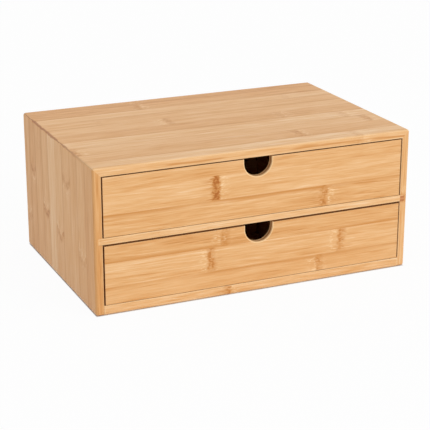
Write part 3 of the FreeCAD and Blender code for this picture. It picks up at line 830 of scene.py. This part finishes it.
# The strips of each front, from the lowest one up.
bamboo_board(
    "upper_drawer_front", "XZY",
    joints=(21.2, 45.4),
    strips=(
        Strip(tone=0.42, knuckle=230.0, mark=0.68, pitch=300.0, rind=HIGH_SIDE),
        Strip(tone=0.62, knuckle=115.8, mark=1.00, pitch=310.0, rind=NO_SIDE),
        Strip(tone=0.48, knuckle=20.0, mark=0.06, pitch=330.0, rind=NO_SIDE),
    ),
    seed=6, extra=gap_shade_and_notch_light(-0.2), figure=0.85, arris=0.5,
)
bamboo_board(
    "lower_drawer_front", "XZY",
    joints=(16.95, 40.7),
    strips=(
        Strip(tone=0.50, knuckle=220.0, mark=-0.55, pitch=300.0, rind=HIGH_SIDE),
        Strip(tone=0.67, knuckle=103.2, mark=-0.60, pitch=139.6, rind=NO_SIDE),
        Strip(tone=0.26, knuckle=117.6, mark=-0.50, pitch=310.0),
    ),
    seed=7, extra=gap_shade_and_notch_light(1.0), figure=0.75, arris=0.5,
)


# The drawer boxes: sides and back of thin boards with the grain lengthwise, rabbeted and glued
# at the corners, and a bottom of thinner board that floats in a groove all round. They are
# sanded and left without lacquer.

BOX_BOARDS = {
    "drawer_left_side": "YZX",
    "drawer_right_side": "YZX",
    "drawer_back": "XZY",
    "drawer_bottom": "XYZ",
}
for drawer, first_seed in (("lower", 30), ("upper", 40)):
    for number, (board, order) in enumerate(BOX_BOARDS.items()):
        name = f"{drawer}_{board}"
        bamboo_board(
            name, order, arris=0.5, rough=0.56, raw_and_shaded=True,
            **strips_from_the_pile(name, order, seed=first_seed + number, middle_tone=0.6),
        )


# The dividers: thin strips stood on edge, slotted halfway through where they cross, so that
# each drawer's grid lifts out in one piece.

DIVIDERS = {"long_divider": "XZY", "cross_divider_1": "YZX", "cross_divider_2": "YZX"}
for drawer, first_seed in (("lower", 50), ("upper", 60)):
    for number, (board, order) in enumerate(DIVIDERS.items()):
        name = f"{drawer}_{board}"
        bamboo_board(
            name, order, arris=0.4, rough=0.56, raw_and_shaded=True,
            **strips_from_the_pile(name, order, seed=first_seed + number, middle_tone=0.65),
        )


# The stage: a pale floor and a pale room. The floor is white to the eye, keeps a faint shadow,
# and is dark only right under the chest's rounded bottom edges.

FLOOR_HALF_WIDTH = 6.0
FLOOR_DROP = 0.0002
floor_mesh = bpy.data.meshes.new("floor")
floor_mesh.from_pydata(
    [
        (x * FLOOR_HALF_WIDTH, y * FLOOR_HALF_WIDTH, -FLOOR_DROP)
        for x, y in ((-1, -1), (1, -1), (1, 1), (-1, 1))
    ],
    [], [(0, 1, 2, 3)],
)
floor = bpy.data.objects.new("floor", floor_mesh)
bpy.context.scene.collection.objects.link(floor)


def seen_white(tree):
    """1 where the eye, or a reflection, looks straight at the surface."""
    ray = add_node(tree, "LightPath").outputs
    seen = calc(tree, "MAXIMUM", ray["Is Camera Ray"], ray["Is Glossy Ray"])
    return calc(tree, "MAXIMUM", seen, ray["Is Transmission Ray"])


# How far in under the chest, in metres, the paper goes from pale to dark.
UNDER_EDGE = 0.0004


def beside_chest(tree):
    """0 on the paper right under the chest, where it lies in shadow, and 1 everywhere else."""
    place = vector_calc(tree, "ABSOLUTE", add_node(tree, "TexCoord").outputs["Object"])
    past = vector_calc(tree, "SUBTRACT", place, cad_high)
    off = add_node(tree, "SeparateXYZ", {0: past}).outputs
    return ease(tree, calc(tree, "MAXIMUM", off[0], off[1]), -UNDER_EDGE, 0.0)


WHITE = (1.0, 1.0, 1.0, 1.0)
PAPER = colour(238, 238, 238)
GLOW_SHARE = 0.95
floor_paper = bpy.data.materials.new("floor_paper")
floor_paper.use_nodes = True
floor_tree = floor_paper.node_tree
floor_tree.nodes.clear()
paper = add_node(floor_tree, "BsdfDiffuse", {"Color": PAPER}).outputs[0]
glow = add_node(floor_tree, "Emission", {"Color": WHITE, "Strength": 1.0}).outputs[0]
glow_share = calc(floor_tree, "MULTIPLY", seen_white(floor_tree), GLOW_SHARE)
glow_share = calc(floor_tree, "MULTIPLY", glow_share, beside_chest(floor_tree))
floor_shader = add_node(floor_tree, "MixShader", {0: glow_share, 1: paper, 2: glow}).outputs[0]
join(floor_tree, floor_shader, add_node(floor_tree, "OutputMaterial").inputs["Surface"])
floor_mesh.materials.append(floor_paper)

ROOM_LIGHT = 0.73
world = bpy.data.worlds.new("pale_room")
bpy.context.scene.world = world
world.use_nodes = True
world_tree = world.node_tree
world_tree.nodes.clear()
room_strength = ease(world_tree, seen_white(world_tree), 0.0, 1.0, ROOM_LIGHT, 1.0)
room = add_node(world_tree, "Background", {"Color": WHITE, "Strength": room_strength}).outputs[0]
join(world_tree, room, add_node(world_tree, "OutputWorld").inputs["Surface"])


# One large soft lamp in front of the chest, a little above it and to its right. Reflections
# leave it out, so that the lacquered top shows no glare.

LAMP_AZIMUTH = math.radians(35.0)
LAMP_ELEVATION = math.radians(20.0)
LAMP_DISTANCE = 7.0
LAMP_WIDTH = 3.6
LAMP_WATTS = 190.0
chest_middle = (cad_low + cad_high) / 2
towards_lamp = Vector((
    math.sin(LAMP_AZIMUTH) * math.cos(LAMP_ELEVATION),
    -math.cos(LAMP_AZIMUTH) * math.cos(LAMP_ELEVATION),
    math.sin(LAMP_ELEVATION),
))
lamp = bpy.data.lights.new("front_lamp", "AREA")
lamp.size = LAMP_WIDTH
lamp.energy = LAMP_WATTS
lamp_object = bpy.data.objects.new("front_lamp", lamp)
bpy.context.scene.collection.objects.link(lamp_object)
lamp_object.location = chest_middle + towards_lamp * LAMP_DISTANCE
away = lamp_object.location - chest_middle
lamp_object.rotation_euler = away.to_track_quat("Z", "Y").to_euler()
lamp_object.visible_glossy = False


# The camera stands to the left of the front and looks down on the top, from far enough away
# that the chest's edges hardly draw together.

CAMERA_PLACE = Vector((-548.3, -1246.8, 513.6))
CAMERA_AZIMUTH = -23.86
CAMERA_ELEVATION = 19.07
CAMERA_LENS = 117.18
SENSOR_WIDTH = 36.0
camera_data = bpy.data.cameras.new("camera")
camera_data.sensor_width = SENSOR_WIDTH
camera_data.lens = CAMERA_LENS
camera = bpy.data.objects.new("camera", camera_data)
bpy.context.scene.collection.objects.link(camera)
camera.location = CAMERA_PLACE / MM_PER_METRE
camera.rotation_euler = Euler(
    (math.pi / 2 - math.radians(CAMERA_ELEVATION), 0.0, math.radians(CAMERA_AZIMUTH))
)
bpy.context.scene.camera = camera
bpy.context.scene.view_settings.view_transform = "Standard"
